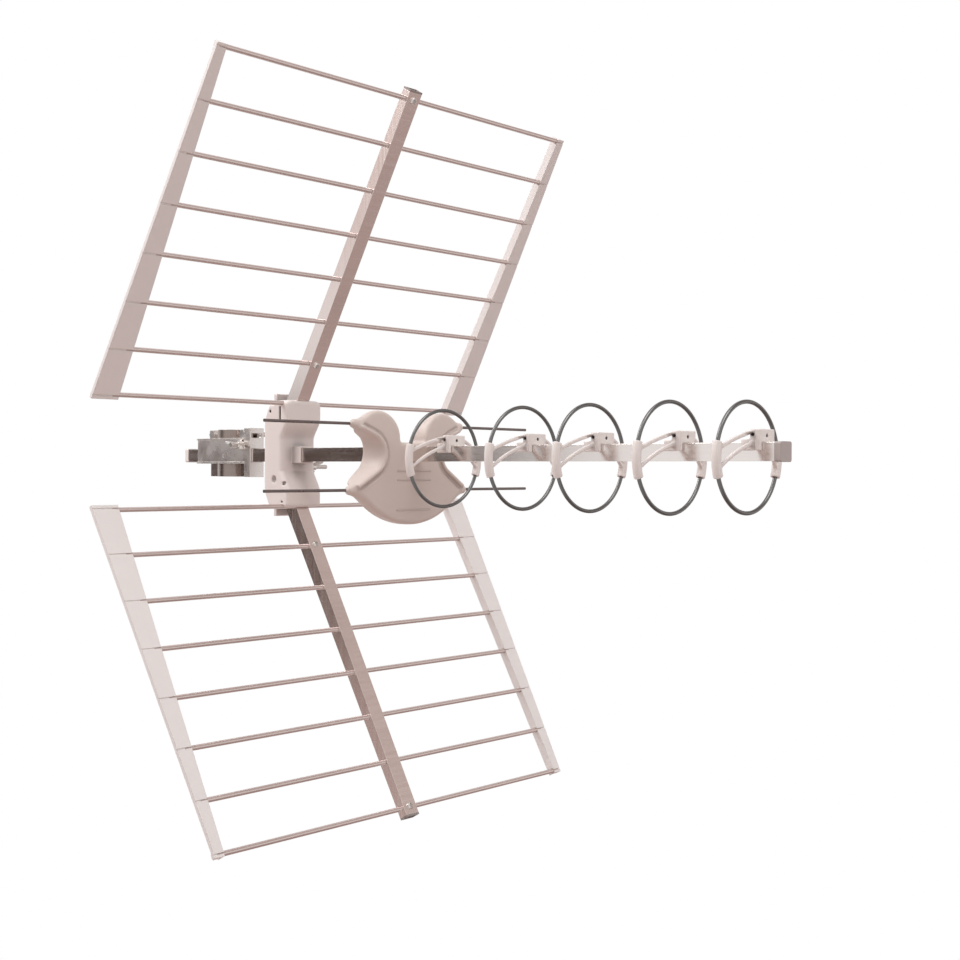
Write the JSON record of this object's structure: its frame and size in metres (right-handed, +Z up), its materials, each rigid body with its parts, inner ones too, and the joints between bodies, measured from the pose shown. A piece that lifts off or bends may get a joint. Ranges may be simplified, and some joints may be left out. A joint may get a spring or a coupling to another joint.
{
  "type": "uhf tv antenna",
  "caption": "directional UHF aerial: rod reflector panels, sculpted dipole casing and ring directors on a square boom, with a side clamp for a mast",
  "frame": {"origin": "on the axis of the mast that the clamp takes, at the height of the boom's axis", "axes": "+X forward along the boom towards the transmitter, +Y to the left seen from behind, +Z up along the mast"},
  "size_m": [0.82, 0.508, 0.7404],
  "materials": {
    "boom_aluminium": "drawn tube, satin",
    "cap_plastic": "moulded, satin",
    "hub_plastic": "moulded, satin",
    "rail_aluminium": "rolled sheet, satin",
    "rail_cap_plastic": "moulded, satin",
    "reflector_aluminium": "drawn rod, satin",
    "strip_plastic": "moulded, satin",
    "casing_plastic": "moulded, satin",
    "board": "lacquered board",
    "socket_brass": "nickelled, turned",
    "dipole_aluminium": "drawn rod, satin",
    "ring_aluminium": "bent wire, satin",
    "holder_plastic": "moulded, satin",
    "clamp_steel": "pressed sheet, zinc plated",
    "fastener_steel": "zinc plated"
  },
  "bodies": {
    "root": {"boom": "boom_aluminium", "boom_front_cap": "cap_plastic", "boom_rear_cap": "cap_plastic", "hub_rear": "hub_plastic", "hub_front_cover": "hub_plastic", "hub_bolt": "fastener_steel", "hub_wing_nut": "fastener_steel", "upper_rail": "rail_aluminium", "lower_rail": "rail_aluminium", "upper_rail_cap": "rail_cap_plastic", "lower_rail_cap": "rail_cap_plastic", "rail_screws": "fastener_steel", "upper_rod_1": "reflector_aluminium", "upper_rod_2": "reflector_aluminium", "upper_rod_3": "reflector_aluminium", "upper_rod_4": "reflector_aluminium", "upper_rod_5": "reflector_aluminium", "upper_rod_6": "reflector_aluminium", "upper_rod_7": "reflector_aluminium", "upper_rod_8": "reflector_aluminium", "lower_rod_1": "reflector_aluminium", "lower_rod_2": "reflector_aluminium", "lower_rod_3": "reflector_aluminium", "lower_rod_4": "reflector_aluminium", "lower_rod_5": "reflector_aluminium", "lower_rod_6": "reflector_aluminium", "lower_rod_7": "reflector_aluminium", "lower_rod_8": "reflector_aluminium", "upper_left_strip": "strip_plastic", "upper_right_strip": "strip_plastic", "lower_left_strip": "strip_plastic", "lower_right_strip": "strip_plastic", "dipole_front_shell": "casing_plastic", "dipole_rear_shell": "casing_plastic", "balun_board": "board", "coax_socket": "socket_brass", "casing_screws": "fastener_steel", "upper_left_dipole_rod": "dipole_aluminium", "upper_right_dipole_rod": "dipole_aluminium", "lower_left_dipole_rod": "dipole_aluminium", "lower_right_dipole_rod": "dipole_aluminium", "director_ring_1": "ring_aluminium", "director_ring_2": "ring_aluminium", "director_ring_3": "ring_aluminium", "director_ring_4": "ring_aluminium", "director_ring_5": "ring_aluminium", "director_holder_1": "holder_plastic", "director_holder_2": "holder_plastic", "director_holder_3": "holder_plastic", "director_holder_4": "holder_plastic", "director_holder_5": "holder_plastic", "boom_bracket": "clamp_steel", "mast_saddle": "clamp_steel", "mast_jaw": "clamp_steel", "clamp_bolts": "fastener_steel", "clamp_nuts": "fastener_steel", "boom_bolt": "fastener_steel", "boom_wing_nut": "fastener_steel"}
  },
  "joints": []
}
